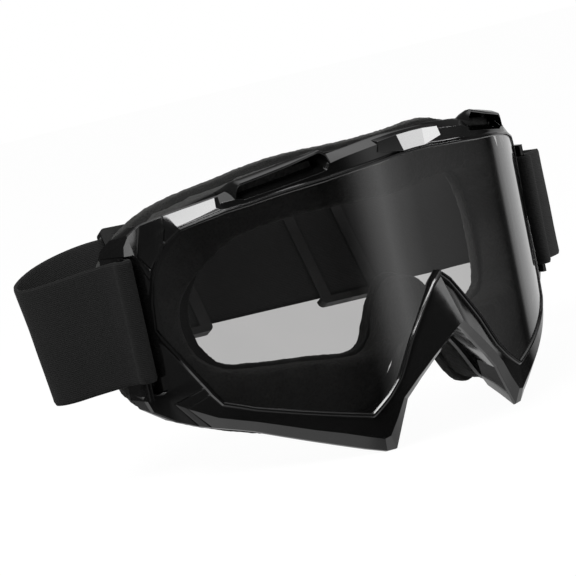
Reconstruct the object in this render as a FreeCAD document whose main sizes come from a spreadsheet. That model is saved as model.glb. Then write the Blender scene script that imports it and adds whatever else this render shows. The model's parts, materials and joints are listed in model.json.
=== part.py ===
"""Off-road motorcycle goggles: wrap-round front frame with a cylindrical lens, two-layer face foam,
vent hoods and filters, an elastic strap wrapped round the frame's two side bars, and two sliders.

Millimetres, +Z up. The goggles face -Y, and "right" is +X, as seen from the front. The origin is
on the mid-plane, on the frame's front edge curve, about level with the top of the nose notch.
"""
import FreeCAD, Part
import math, os
from FreeCAD import Vector, Placement, Rotation
import Sketcher

os.makedirs("parts", exist_ok=True)
doc = FreeCAD.newDocument("goggles")

# ---------------------------------------------------------------- driving dimensions
DIMENSIONS = {
    # plan curve of the lens: terms in (x / profile_half) to the powers 2, 4 and 8
    "lens_square_term": 44.5, "lens_fourth_term": 4.0, "lens_eighth_term": 0.5,
    "profile_half": 80.0,
    # plan parabolas of the frame's rear edge and of the foam's face side
    "rear_y0": 15.0, "rear_sag": 52.0, "rear_half": 88.0,
    "face_y0": 31.0, "face_sag": 49.0, "face_half": 78.0,
    # frame; setbacks are measured in Y behind the lens curve
    "band_depth": 5.0, "wall_thick": 2.0, "flange_thick": 1.6,
    "groove_front_setback": 2.9, "groove_rear_setback": 4.3, "groove_deep": 1.2,
    "lens_setback": 3.0, "lens_thick": 1.2, "lens_bite": 0.9,
    # strap slots and the side bars outside them
    "slot_x0": 80.8, "slot_x1": 83.2, "bar_outer_x": 85.2,
    "slot_low": -20.5, "slot_high": 24.9, "bar_front_y": 50.0,
    # foam
    "fleece_thick": 2.0, "foam_gap": 0.05,
    # strap: the z values are centre heights, back_lean is in degrees
    "strap_width": 40.0, "strap_left_z": 4.2, "strap_right_z": 0.9, "strap_thick": 1.5,
    "back_y": 98.0, "back_x0": -62.0, "back_x1": 66.0, "back_z0": 8.8, "back_z1": 0.4,
    "back_lean": 30.0, "back_end_gap": 0.8, "tail_end_y": 66.0,
    # sliders
    "slider_len": 26.0, "slider_high": 46.5, "slider_thick": 3.6,
    "slider_bar": 7.0, "slider_end_bar": 4.5,
    "slider_tunnel_high": 41.2, "slider_tunnel_thick": 2.0, "slider_corner": 2.0,
    "slider_left_pos": -48.4, "slider_right_pos": 24.0,
    # vents
    "hood_x0": 30.0, "hood_x1": 54.0, "hood_high": 2.4, "hood_skin": 1.1, "filter_thick": 2.0,
    # stitching
    "stitch_high": 33.0, "stitch_proud": 0.45,
}
sheet = doc.addObject("Spreadsheet::Sheet", "Dimensions")
for row, (name, value) in enumerate(DIMENSIONS.items(), start=1):
    sheet.set("A%d" % row, name)
    sheet.set("B%d" % row, str(value))
    sheet.setAlias("B%d" % row, name)
doc.recompute()


def dim(name):
    return float(sheet.get(name))


# ---------------------------------------------------------------- measured front-view outlines
# (x, z) of the right half, from the top centre round to the nose centre
LENS_OPENING = [
    (0, 38.5), (5.5, 38.3), (23.8, 36.7), (42.7, 34.9), (59.2, 32.6), (69.1, 29.8), (73.9, 25.6),
    (76.4, 18.0), (78.2, 8.0), (78.8, 0.0), (67.8, -26.3), (61.0, -29.6), (44.1, -35.3),
    (31.1, -39.2), (25.4, -34.6), (21.4, -30.3), (15.0, -19.1), (8.5, -9.9), (1.3, -0.5),
    (0, -0.3),
]
FRAME_OUTER = [
    (0, 45.7), (20, 44.4), (30, 43.3), (54.4, 39.0), (70, 35.3), (77.5, 33.0), (82.2, 30.0),
    (85.2, 24.5), (85.2, -20.0), (83.0, -26.5), (77.0, -31.5), (72.0, -34.0), (62.6, -37.2),
    (52.0, -42.2), (39.0, -48.2), (28.3, -52.8), (25.2, -52.8), (18.6, -38.0), (9.5, -27.5),
    (4.6, -22.4), (0, -19.0),
]
FOAM_OUTER = [
    (0, 44.2), (12, 44.4), (26, 44.9), (35, 44.2), (44, 42.2), (52, 40.4), (60, 38.6),
    (64, 36.8), (68, 34.2), (72, 30.6), (75.5, 25.6), (78.6, 19.6), (80.2, 12), (80.2, -17),
    (78, -25), (73.3, -31), (69, -34.4), (64, -37), (55, -40.9), (44, -44.4), (34, -46.6),
    (27, -46.8), (22, -44.6), (16.5, -36.4), (12, -29.5), (7, -23.5), (0, -19.5),
]
FOAM_INNER = [
    (0, 24.5), (30, 25.5), (50, 22.5), (62, 14), (66.0, 0), (65.5, -12), (60, -18.5),
    (40, -21.0), (25, -23), (17, -24), (12.5, -20), (10, -12), (6, -4.5), (0, -0.5),
]
TOP_EDGE = FRAME_OUTER[:6]
LOW_EDGE = FRAME_OUTER[9:15]

# extents of the construction solids, all beyond the frame
SLAB_LOW, SLAB_HIGH, SLAB_HALF = -62.0, 58.0, 94.0
PRISM_FRONT, PRISM_REAR = -30.0, 140.0
CURVE_POINTS = 25

made = []


def keep(obj, label):
    """Labels an object and lists it for export."""
    obj.Label = label
    made.append((obj, label))


def feature(label, shape):
    obj = doc.addObject("Part::Feature", label)
    obj.Shape = shape
    keep(obj, label)


# ---------------------------------------------------------------- plan curves, y as a function of x
def lens_y(x):
    square = (x / dim("profile_half")) ** 2
    return (dim("lens_square_term") * square + dim("lens_fourth_term") * square * square
            + dim("lens_eighth_term") * square ** 4)


def rear_y(x):
    return dim("rear_y0") + dim("rear_sag") * (x / dim("rear_half")) ** 2


def face_y(x):
    return dim("face_y0") + dim("face_sag") * (x / dim("face_half")) ** 2


# ---------------------------------------------------------------- shape helpers
def plan_edge(plan, offset):
    """Spline edge along y = plan(x) + offset, at the bottom of the slabs."""
    xs = [-SLAB_HALF + 2 * SLAB_HALF * i / (CURVE_POINTS - 1.0) for i in range(CURVE_POINTS)]
    spline = Part.BSplineCurve()
    spline.interpolate([Vector(x, plan(x) + offset, SLAB_LOW) for x in xs])
    return spline.toShape()


def slab(front, front_offset, rear, rear_offset):
    """Solid between two offset plan curves, over the whole height."""
    near, far = plan_edge(front, front_offset), plan_edge(rear, rear_offset)
    near_start, near_end = near.valueAt(near.FirstParameter), near.valueAt(near.LastParameter)
    far_start, far_end = far.valueAt(far.FirstParameter), far.valueAt(far.LastParameter)
    wire = Part.Wire([near, Part.makeLine(near_end, far_end),
                      far, Part.makeLine(far_start, near_start)])
    return Part.Face(wire).extrude(Vector(0, 0, SLAB_HIGH - SLAB_LOW))


def extrude_front_view(points):
    """Closes a front-view polygon and extrudes it along Y through everything."""
    corners = [Vector(x, PRISM_FRONT, z) for x, z in points]
    face = Part.Face(Part.makePolygon(corners + [corners[0]]))
    return face.extrude(Vector(0, PRISM_REAR - PRISM_FRONT, 0))


def prism(half_outline, grow=0.0):
    """Prism of a half outline mirrored about the mid-plane, its sides moved outward by grow."""
    ring = list(half_outline) + [(-x, z) for x, z in reversed(half_outline) if abs(x) > 1e-9]
    grown = []
    for i, (x, z) in enumerate(ring):
        prev_x, prev_z = ring[i - 1]
        next_x, next_z = ring[(i + 1) % len(ring)]
        before = math.hypot(x - prev_x, z - prev_z)
        after = math.hypot(next_x - x, next_z - z)
        # outward normals of the sides before and after this corner
        nx1, nz1 = -(z - prev_z) / before, (x - prev_x) / before
        nx2, nz2 = -(next_z - z) / after, (next_x - x) / after
        scale = grow / max(1 + nx1 * nx2 + nz1 * nz2, 0.5)
        grown.append((x + (nx1 + nx2) * scale, z + (nz1 + nz2) * scale))
    return extrude_front_view(grown)


def box(x0, x1, y0, y1, z0, z1):
    return Part.makeBox(x1 - x0, y1 - y0, z1 - z0, Vector(x0, y0, z0))


def mirrored(shape):
    return shape.mirror(Vector(0, 0, 0), Vector(1, 0, 0))


def both(shape):
    return shape.fuse(mirrored(shape))


def mirrored_pair(label, shape):
    feature(label + "_right", shape)
    feature(label + "_left", mirrored(shape))


def facets(points, triangles):
    """Solid bounded by triangles, given as indices into a list of vectors."""
    faces = [Part.Face(Part.makePolygon([points[i] for i in corners + corners[:1]]))
             for corners in triangles]
    solid = Part.Solid(Part.makeShell(faces))
    if solid.Volume < 0:
        solid.reverse()
    return solid


# ---------------------------------------------------------------- front frame
WALL_OVERLAP = 0.3             # wall runs this far into the band
FLANGE_MARGIN = 1.0            # flange stops this far short of the foam's inner outline
FILL_LEAD = 8                  # side fill may start this far in front of the lens curve
VENT_INSET = 4                 # top vent opening inside each hood end
TOP_VENT_SETBACKS = (6.2, 9.4)
LOW_VENT_SETBACKS = (6.4, 9.8)


def nose_bridge():
    """Two flat cheeks that meet in a forward ridge."""
    high_x, high_z, low_x, low_z = 19.6, -29.4, 17.9, -36.6
    high_y, low_y = lens_y(high_x) + 0.3, lens_y(low_x) + 0.3
    high_rear, low_rear, mid_rear = 5.8, 5.4, 3.0
    top_z, base_z = -1.4, -18.9
    points = [
        (0, 0.2, top_z), (0, -7.9, -16.7), (0, -4.7, base_z),            # 0-2 ridge: top, peak, base
        (high_x, high_y, high_z), (low_x, low_y, low_z),                 # 3, 4 right cheek
        (-high_x, high_y, high_z), (-low_x, low_y, low_z),               # 5, 6 left cheek
        (0, mid_rear, top_z), (0, mid_rear, base_z),                     # 7, 8 rear of top and base
        (high_x, high_rear, high_z), (low_x, low_rear, low_z),           # 9, 10 rear of right cheek
        (-high_x, high_rear, high_z), (-low_x, low_rear, low_z),         # 11, 12 rear of left cheek
    ]
    triangles = [
        (0, 1, 3), (1, 4, 3), (1, 2, 4), (0, 5, 1), (1, 5, 6), (1, 6, 2),              # front
        (2, 8, 4), (8, 10, 4), (2, 6, 8), (8, 6, 12),                                  # underside
        (3, 4, 10), (3, 10, 9), (5, 11, 12), (5, 12, 6),                               # sides
        (0, 3, 7), (7, 3, 9), (0, 7, 5), (7, 11, 5),                                   # upper side
        (7, 9, 8), (8, 9, 10), (7, 8, 11), (8, 12, 11),                                # rear
    ]
    return facets([Vector(*point) for point in points], triangles)


def build_frame():
    depth = dim("band_depth")
    outer = prism(FRAME_OUTER)
    band = slab(lens_y, 0, lens_y, depth).common(outer)
    wall_ring = outer.cut(prism(FRAME_OUTER, -dim("wall_thick")))
    wall = slab(lens_y, depth - WALL_OVERLAP, rear_y, 0).common(wall_ring)
    side_fill = box(dim("slot_x1"), 90, dim("bar_front_y"), 62, -60, 40).common(wall_ring)
    side_fill = side_fill.common(slab(lens_y, -FILL_LEAD, rear_y, 0))
    flange = slab(rear_y, -dim("flange_thick"), rear_y, 0).common(outer)
    flange = flange.cut(prism(FOAM_INNER, FLANGE_MARGIN))
    body = band.fuse([wall, side_fill, mirrored(side_fill), flange])
    body = body.fuse(nose_bridge())
    body = body.cut(prism(LENS_OPENING))
    # lens groove
    groove = slab(lens_y, dim("groove_front_setback"), lens_y, dim("groove_rear_setback"))
    body = body.cut(groove.common(prism(LENS_OPENING, dim("groove_deep"))))
    # strap slots
    slot = box(dim("slot_x0"), dim("slot_x1"), 40, 80, dim("slot_low"), dim("slot_high"))
    body = body.cut(both(slot))
    # vent openings through the top and bottom walls
    front, rear = TOP_VENT_SETBACKS
    top_vent = slab(lens_y, front, lens_y, rear).common(
        box(dim("hood_x0") + VENT_INSET, dim("hood_x1") - VENT_INSET, 0, 60, 30, 56))
    front, rear = LOW_VENT_SETBACKS
    low_vent = slab(lens_y, front, lens_y, rear).common(box(34, 60, 0, 60, -56, -36))
    body = body.cut(both(top_vent)).cut(both(low_vent))
    feature("frame", body.removeSplitter())


build_frame()


# ---------------------------------------------------------------- lens and face foam
def build_lens():
    front = dim("lens_setback")
    sheet_solid = slab(lens_y, front, lens_y, front + dim("lens_thick"))
    feature("lens", sheet_solid.common(prism(LENS_OPENING, dim("lens_bite"))))


def build_foam():
    gap = dim("foam_gap")
    ring = prism(FOAM_OUTER).cut(prism(FOAM_INNER))
    feature("foam_core", slab(rear_y, gap, face_y, 0).common(ring))
    feature("face_fleece", slab(face_y, gap, face_y, dim("fleece_thick")).common(ring))


build_lens()
build_foam()

# ---------------------------------------------------------------- vent hoods and filters
HOOD_END_WALL = 1.4
HOOD_SETBACKS = (0.6, 11.5)
HOOD_HOLLOW_SETBACKS = (-2, 10.2)    # open at the front, closed at the rear
HOLLOW_OVERCUT = 0.5                 # hollow runs this far below the hood's underside
FILTER_INSET = 2                     # top filter inside each hood end
TOP_FILTER_SETBACKS = (5.3, 10.8)
LOW_FILTER_SETBACKS = (5.3, 11.0)
LOW_FILTER_X = (40.0, 51.0)
# vertical allowance for the sloping walls, as a multiple of wall thickness, and clearance
TOP_WALL_FACTOR, TOP_FILTER_CLEAR = 1.03, 0.06
LOW_WALL_FACTOR, LOW_FILTER_CLEAR = 1.14, 0.1


def edge_z(x, edge):
    """Height of a frame edge at x."""
    for (xa, za), (xb, zb) in zip(edge, edge[1:]):
        if min(xa, xb) <= x <= max(xa, xb):
            return za + (zb - za) * (x - xa) / (xb - xa)


def edge_strip(edge, x0, x1, lift, high, setbacks):
    """Curved strip along a frame edge: lift above it, high tall, between two setbacks."""
    z0, z1 = edge_z(x0, edge) + lift, edge_z(x1, edge) + lift
    quad = extrude_front_view([(x0, z0), (x1, z1), (x1, z1 + high), (x0, z0 + high)])
    front, rear = setbacks
    return slab(lens_y, front, lens_y, rear).common(quad)


def build_vents():
    x0, x1, gap = dim("hood_x0"), dim("hood_x1"), dim("foam_gap")
    high, thick, wall = dim("hood_high"), dim("filter_thick"), dim("wall_thick")
    hood = edge_strip(TOP_EDGE, x0, x1, gap, high, HOOD_SETBACKS)
    hollow = edge_strip(TOP_EDGE, x0 + HOOD_END_WALL, x1 - HOOD_END_WALL, gap - HOLLOW_OVERCUT,
                        high - dim("hood_skin") + HOLLOW_OVERCUT, HOOD_HOLLOW_SETBACKS)
    mirrored_pair("top_vent_hood", hood.cut(hollow))
    lift = -wall * TOP_WALL_FACTOR - thick - TOP_FILTER_CLEAR
    mirrored_pair("top_vent_filter", edge_strip(
        TOP_EDGE, x0 + FILTER_INSET, x1 - FILTER_INSET, lift, thick, TOP_FILTER_SETBACKS))
    lift = wall * LOW_WALL_FACTOR + LOW_FILTER_CLEAR
    mirrored_pair("bottom_vent_filter", edge_strip(
        LOW_EDGE, LOW_FILTER_X[0], LOW_FILTER_X[1], lift, thick, LOW_FILTER_SETBACKS))


build_vents()

# ---------------------------------------------------------------- strap placing
BAR_CLEAR = 0.42                     # between side bar and webbing
strap_width, strap_thick = dim("strap_width"), dim("strap_thick")
bar_mid_x = (dim("bar_outer_x") + dim("slot_x1")) / 2
# centreline radius where the webbing wraps the side bar
wrap_radius = (dim("bar_outer_x") - dim("slot_x1")) / 2 + BAR_CLEAR + strap_thick / 2
wrap_y = dim("bar_front_y") + 0.25
outer_x = bar_mid_x + wrap_radius    # webbing centre outside the bar
inner_x = bar_mid_x - wrap_radius    # webbing centre inside the slot
left_z, right_z = dim("strap_left_z"), dim("strap_right_z")

# the rear run lies along its own tilted line and leans back at the top
back_y = dim("back_y")
back_x0, back_x1 = dim("back_x0"), dim("back_x1")
back_z0, back_z1 = dim("back_z0"), dim("back_z1")
back_tilt = -math.degrees(math.atan2(back_z1 - back_z0, back_x1 - back_x0))
back_rot = Rotation(Vector(0, 1, 0), back_tilt).multiply(
    Rotation(Vector(1, 0, 0), -dim("back_lean")))
along, across, up = (back_rot.multVec(axis)
                     for axis in (Vector(1, 0, 0), Vector(0, 1, 0), Vector(0, 0, 1)))

# stations from the side bar to the rear run: top x, top y, bottom x, bottom y, centre z
start_y = wrap_y + 0.35
second_y = wrap_y + 2.0
LEFT_STATIONS = [
    (-outer_x, start_y, -outer_x, start_y, left_z),
    (-outer_x, second_y, -outer_x, second_y, left_z),
    (-87.2, 57.5, -87.6, 57.0, 3.6), (-89.3, 64.5, -90.4, 62.6, 2.6),
    (-92.4, 72.5, -94.4, 69.4, 1.3), (-97.2, 81.8, -98.6, 75.0, 0.0),
    (-100.0, 89.2, -101.0, 80.4, -0.8), (-100.7, 95.2, -100.7, 86.0, -0.9),
    (-98.4, 101.6, -96.6, 90.4, 0.6), (-91.6, 106.0, -88.6, 92.2, 3.4),
    (-82.0, 107.9, -79.0, 91.0, 6.2), (-71.5, 108.0, -70.0, 88.8, 8.2),
    (back_x0, back_y, back_x0, back_y, back_z0),
]
RIGHT_STATIONS = [
    (outer_x, start_y, outer_x, start_y, right_z),
    (outer_x, second_y, outer_x, second_y, right_z),
    (89.2, 55.2, 89.0, 55.2, 0.9), (95.5, 58.0, 95.2, 57.8, 0.7),
    (102.0, 63.2, 101.4, 62.2, 0.2), (105.4, 70.5, 104.6, 67.4, -0.4),
    (105.9, 79.5, 104.2, 74.4, -0.6), (102.8, 89.0, 100.2, 81.0, -0.4),
    (95.8, 98.0, 93.2, 85.6, 0.0), (85.5, 104.6, 84.4, 87.6, 0.1),
    (74.8, 107.4, 74.4, 88.0, 0.2),
    (back_x1, back_y, back_x1, back_y, back_z1),
]


# ---------------------------------------------------------------- strap side and rear runs
def smooth(rows, steps=4):
    """Catmull-Rom resampling of a list of equal-length tuples."""
    last = len(rows) - 1
    result = []
    for i in range(last):
        spans = list(zip(rows[max(i - 1, 0)], rows[i], rows[i + 1], rows[min(i + 2, last)]))
        for step in range(steps):
            t = step / float(steps)
            result.append(tuple(
                0.5 * (2 * b + (c - a) * t + (2 * a - 5 * b + 4 * c - d) * t * t
                       + (3 * b - a - 3 * c + d) * t ** 3)
                for a, b, c, d in spans))
    result.append(rows[-1])
    return result


def ribbon(top, bottom):
    """Closed band of webbing between two paths, its thickness set off along its own normal."""
    last = len(top) - 1
    points = []
    for i in range(last + 1):
        before, after = max(i - 1, 0), min(i + 1, last)
        run = (top[after] + bottom[after]) - (top[before] + bottom[before])
        normal = run.cross(top[i] - bottom[i])
        normal.normalize()
        normal = normal * (strap_thick / 2)
        points += [top[i] + normal, bottom[i] + normal, bottom[i] - normal, top[i] - normal]
    triangles = []
    for i in range(0, 4 * last, 4):
        for j in range(4):
            k = (j + 1) % 4
            triangles += [(i + j, i + k, i + 4 + k), (i + j, i + 4 + k, i + 4 + j)]
    end = 4 * last
    triangles += [(0, 2, 1), (0, 3, 2), (end, end + 1, end + 2), (end, end + 2, end + 3)]
    return facets(points, triangles)


def side_run(stations):
    rows = smooth(stations)
    half = strap_width / 2
    top, bottom = [], []
    for top_x, top_y, low_x, low_y, z in rows[:-1]:
        # keeps the webbing's width where it leans
        rise = math.sqrt(half ** 2 - ((top_x - low_x) ** 2 + (top_y - low_y) ** 2) / 4)
        top.append(Vector(top_x, top_y, z + rise))
        bottom.append(Vector(low_x, low_y, z - rise))
    # the last station takes the lean of the rear run
    end = Vector(rows[-1][0], rows[-1][1], rows[-1][4])
    top.append(end + up * half)
    bottom.append(end - up * half)
    return ribbon(top, bottom)


def build_back_run():
    """Straight rear length of webbing, short of the side runs by a gap at each end."""
    back = doc.addObject("Part::Box", "strap_back_run")
    back.setExpression("Length", "sqrt(pow(Dimensions.back_x1 - Dimensions.back_x0; 2)"
                       " + pow(Dimensions.back_z1 - Dimensions.back_z0; 2))"
                       " - 2 * Dimensions.back_end_gap")
    back.setExpression("Width", "Dimensions.strap_thick")
    back.setExpression("Height", "Dimensions.strap_width")
    corner = (Vector(back_x0, back_y, back_z0) + along * dim("back_end_gap")
              - across * (strap_thick / 2) - up * (strap_width / 2))
    back.Placement = Placement(corner, back_rot)
    keep(back, "strap_back_run")


feature("strap_left_run", side_run(LEFT_STATIONS))
feature("strap_right_run", side_run(RIGHT_STATIONS))
build_back_run()


# ---------------------------------------------------------------- part design helpers
def sketch_on(body, name, plane_role):
    sketch = body.newObject("Sketcher::SketchObject", name)
    plane = [item for item in body.Origin.OriginFeatures if item.Role == plane_role][0]
    sketch.AttachmentSupport = [(plane, "")]
    sketch.MapMode = "FlatFace"
    return sketch


def mid_pad(body, name, sketch, length_alias):
    """Pad symmetric about its sketch, its length bound to the sheet."""
    pad = body.newObject("PartDesign::Pad", name)
    pad.Profile = sketch
    pad.setExpression("Length", "Dimensions." + length_alias)
    pad.Midplane = True
    doc.recompute()


# ---------------------------------------------------------------- strap ends and stitching
def end_loop(label, side, centre_z):
    """Webbing end wrapped round the side bar and back through the slot; side is +1 or -1."""
    body = doc.addObject("PartDesign::Body", label + "_body")
    sketch = sketch_on(body, label + "_sketch", "XY_Plane")
    half, tail_y = strap_thick / 2, dim("tail_end_y")

    def point(x, y):
        return Vector(side * x, y, 0)

    def line(x0, y0, x1, y1):
        return Part.LineSegment(point(x0, y0), point(x1, y1))

    def arc(radius):
        return Part.Arc(point(bar_mid_x - radius, wrap_y), point(bar_mid_x, wrap_y - radius),
                        point(bar_mid_x + radius, wrap_y))

    sketch.addGeometry([
        line(inner_x - half, tail_y, inner_x - half, wrap_y),
        arc(wrap_radius + half),
        line(outer_x + half, wrap_y, outer_x - half, wrap_y),
        arc(wrap_radius - half),
        line(inner_x + half, wrap_y, inner_x + half, tail_y),
        line(inner_x + half, tail_y, inner_x - half, tail_y),
    ], False)
    mid_pad(body, label + "_pad", sketch, "strap_width")
    body.Placement = Placement(Vector(0, 0, centre_z), Rotation())
    keep(body, label)


STITCH_ROWS, STITCH_FIRST_Y, STITCH_ROW_PITCH = 3, 60.6, 1.7
STITCHES_PER_ROW = 9
THREAD_WIDE, THREAD_HALF_LEN = 0.7, 1.35
THREAD_GAP = 0.02                    # between thread and webbing


def stitches(centre_z):
    """Rows of raised thread on the inward face of the right strap end."""
    face_x = inner_x - strap_thick / 2
    high = dim("stitch_high")
    threads = []
    for row in range(STITCH_ROWS):
        y = STITCH_FIRST_Y + STITCH_ROW_PITCH * row
        for i in range(STITCHES_PER_ROW):
            z = centre_z - high / 2 + (i + 0.5) * high / STITCHES_PER_ROW
            threads.append(box(face_x - dim("stitch_proud"), face_x - THREAD_GAP,
                               y, y + THREAD_WIDE, z - THREAD_HALF_LEN, z + THREAD_HALF_LEN))
    return Part.makeCompound(threads)


end_loop("strap_end_right", 1, right_z)
end_loop("strap_end_left", -1, left_z)
feature("end_stitching_right", stitches(right_z))
feature("end_stitching_left", mirrored(stitches(left_z)))

# ---------------------------------------------------------------- strap sliders (three-bar)
WINDOW_OVERRUN = 2                   # open windows run past the plate's ends
WINDOW_OVERCUT = 1                   # windows cut past the plate's face


def rect(sketch, x0, y0, x1, y1):
    corners = [Vector(x0, y0, 0), Vector(x1, y0, 0), Vector(x1, y1, 0), Vector(x0, y1, 0)]
    sketch.addGeometry([Part.LineSegment(corners[i], corners[(i + 1) % 4]) for i in range(4)],
                       False)


def centred_rect(sketch, width_alias, height_alias):
    """Rectangle about the sketch origin, its width and height bound to the sheet."""
    width, height = dim(width_alias), dim(height_alias)
    rect(sketch, -width / 2, -height / 2, width / 2, height / 2)
    sketch.addConstraint([Sketcher.Constraint("Coincident", i, 2, (i + 1) % 4, 1)
                          for i in range(4)])
    sketch.addConstraint([Sketcher.Constraint("Horizontal", 0),
                          Sketcher.Constraint("Horizontal", 2),
                          Sketcher.Constraint("Vertical", 1),
                          Sketcher.Constraint("Vertical", 3)])
    sketch.addConstraint(Sketcher.Constraint("Symmetric", 0, 1, 1, 2, -1, 1))
    across_id = sketch.addConstraint(Sketcher.Constraint("DistanceX", 0, 1, 0, 2, width))
    upright_id = sketch.addConstraint(Sketcher.Constraint("DistanceY", 1, 1, 1, 2, height))
    sketch.setExpression("Constraints[%d]" % across_id, "Dimensions." + width_alias)
    sketch.setExpression("Constraints[%d]" % upright_id, "Dimensions." + height_alias)


def window_pocket(body, name, rects, depth, reverse):
    sketch = sketch_on(body, name + "_sketch", "XZ_Plane")
    for corners in rects:
        rect(sketch, *corners)
    pocket = body.newObject("PartDesign::Pocket", name + ("s" if not reverse else ""))
    pocket.Profile = sketch
    pocket.Length = depth
    pocket.Reversed = reverse
    doc.recompute()
    return pocket


def slider(label, position_alias):
    body = doc.addObject("PartDesign::Body", label + "_body")
    plate_sketch = sketch_on(body, label + "_plate_sketch", "XZ_Plane")
    centred_rect(plate_sketch, "slider_len", "slider_high")
    mid_pad(body, label + "_plate", plate_sketch, "slider_thick")
    plate_volume = body.Shape.Volume

    # tunnel for the webbing along the slider's length
    tunnel_sketch = sketch_on(body, label + "_tunnel_sketch", "YZ_Plane")
    centred_rect(tunnel_sketch, "slider_tunnel_thick", "slider_tunnel_high")
    tunnel = body.newObject("PartDesign::Pocket", label + "_tunnel")
    tunnel.Profile = tunnel_sketch
    tunnel.Type = 1                  # through all
    tunnel.Midplane = True
    doc.recompute()
    tunnel_volume = body.Shape.Volume

    half_len, half_high = dim("slider_len") / 2, dim("slider_tunnel_high") / 2
    half_bar = dim("slider_bar") / 2
    end_x, window_x = half_len + WINDOW_OVERRUN, half_len - dim("slider_end_bar")
    depth = dim("slider_thick") / 2 + WINDOW_OVERCUT
    # one face keeps only the middle bar over the webbing, the other only the two end bars
    sketch = sketch_on(body, label + "_front_windows_sketch", "XZ_Plane")
    rect(sketch, -end_x, -half_high, -half_bar, half_high)
    rect(sketch, half_bar, -half_high, end_x, half_high)
    window_cut(body, label + "_front_windows", sketch, depth, False)
    sketch = sketch_on(body, label + "_rear_window_sketch", "XZ_Plane")
    rect(sketch, -window_x, -half_high, window_x, half_high)
    last_cut = window_cut(body, label + "_rear_window", sketch, depth, True)
    if not plate_volume > tunnel_volume > body.Shape.Volume > 0:
        raise RuntimeError("slider pockets cut nothing: " + label)

    # round the four corners of the plate
    edges = []
    for i, edge in enumerate(body.Shape.Edges, start=1):
        bounds = edge.BoundBox
        full_thick = bounds.YLength > dim("slider_thick") - 0.01
        straight = bounds.XLength < 1e-6 and bounds.ZLength < 1e-6
        if full_thick and straight and abs(abs(bounds.XMin) - half_len) < 1e-6:
            edges.append("Edge%d" % i)
    fillet = body.newObject("PartDesign::Fillet", label + "_corners")
    fillet.Base = (last_cut, edges)
    fillet.setExpression("Radius", "Dimensions.slider_corner")
    doc.recompute()
    body.Tip = fillet
    x = dim(position_alias)
    z = back_z0 + (back_z1 - back_z0) * (x - back_x0) / (back_x1 - back_x0)
    body.Placement = Placement(Vector(x, back_y, z), back_rot)
    doc.recompute()
    keep(body, label)


def window_cut(body, name, sketch, depth, reverse):
    """Pocket from the plate's mid-plane out through one face."""
    pocket = body.newObject("PartDesign::Pocket", name)
    pocket.Profile = sketch
    pocket.Length = depth
    pocket.Reversed = reverse
    doc.recompute()
    return pocket


del window_pocket
slider("slider_left", "slider_left_pos")
slider("slider_right", "slider_right_pos")

# ---------------------------------------------------------------- checks and export
doc.recompute()
bad = []
for obj in doc.Objects:
    if any(state in ("Invalid", "Error") for state in obj.State):
        bad.append("%s %s" % (obj.Label, obj.State))
for obj, label in made:
    if obj.Shape.isNull() or not obj.Shape.isValid() or not obj.Shape.Solids:
        bad.append("%s shape null or not valid" % label)
if bad:
    raise SystemExit("failed: " + "; ".join(bad))
for obj, label in made:
    solids = obj.Shape.Solids
    result = solids[0] if len(solids) == 1 else Part.makeCompound(solids)
    result.exportStep("parts/%s.step" % label)
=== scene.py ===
"""Goggles: a gloss black frame, smoke lens, vent scoops, foam with fleece, and a woven strap.

The lens faces -Y and the wearer's face is at +Y; Z is up and X = 0 is the mirror plane.
"right" means +X, which is on the right when looking at the lens from the front.
Shapes are worked out in millimetres and turned into metres when a mesh is made.
"""
import json
import math

import bmesh
import bpy
import numpy as np
from mathutils import Matrix, Vector, noise


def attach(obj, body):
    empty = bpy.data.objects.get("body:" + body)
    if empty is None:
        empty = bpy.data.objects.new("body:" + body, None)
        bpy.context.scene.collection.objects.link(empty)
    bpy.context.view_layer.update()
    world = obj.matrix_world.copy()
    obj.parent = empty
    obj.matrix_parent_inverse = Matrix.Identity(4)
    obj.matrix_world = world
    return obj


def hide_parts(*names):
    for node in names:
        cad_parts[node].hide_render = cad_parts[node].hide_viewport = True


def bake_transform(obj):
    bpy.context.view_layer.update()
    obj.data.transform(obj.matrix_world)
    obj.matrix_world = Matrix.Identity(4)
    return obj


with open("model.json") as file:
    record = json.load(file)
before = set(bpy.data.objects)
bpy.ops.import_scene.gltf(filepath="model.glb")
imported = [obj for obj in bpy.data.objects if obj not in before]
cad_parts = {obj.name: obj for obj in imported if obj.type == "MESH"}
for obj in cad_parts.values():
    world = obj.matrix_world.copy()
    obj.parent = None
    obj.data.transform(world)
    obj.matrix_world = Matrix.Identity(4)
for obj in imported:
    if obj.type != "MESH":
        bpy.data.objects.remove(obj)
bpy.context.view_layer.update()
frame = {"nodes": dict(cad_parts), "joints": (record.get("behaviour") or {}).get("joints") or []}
NODES = frame["nodes"]

MM = 0.001
SIDES = (("right", 1), ("left", -1))
BODY = "goggle_body"


# ---------------------------------------------------------------- plan curves: y (mm) at a given x
def lens_y(x):
    """Front surface of the lens."""
    t = (x / 80.0) ** 2
    return 44.5 * t + 4 * t * t + 0.5 * t ** 4


def rear_y(x):
    """Rear edge of the frame."""
    return 15 + 52 * (x / 88.0) ** 2


def face_y(x):
    """Where the padding meets the face."""
    return 31 + 49 * (x / 78.0) ** 2


# ---------------------------------------------------------------- geometry helpers
def clamp01(value):
    return min(max(value, 0), 1)


def unit(vector):
    return vector / max(np.linalg.norm(vector), 1e-6)


def spline(p0, p1, p2, p3, t):
    """Catmull-Rom point between p1 and p2."""
    return 0.5 * (2 * p1 + (p2 - p0) * t + (2 * p0 - 5 * p1 + 4 * p2 - p3) * t * t
                  + (3 * p1 - p0 - 3 * p2 + p3) * t ** 3)


def smooth_rows(rows, steps):
    """Runs a spline through the rows, with the given number of steps between each two."""
    rows = [np.array(row, float) for row in rows]
    last = len(rows) - 1
    out = []
    for i in range(last):
        around = rows[max(i - 1, 0)], rows[i], rows[i + 1], rows[min(i + 2, last)]
        out += [spline(*around, step / float(steps)) for step in range(steps)]
    out.append(rows[-1])
    return out


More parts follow.
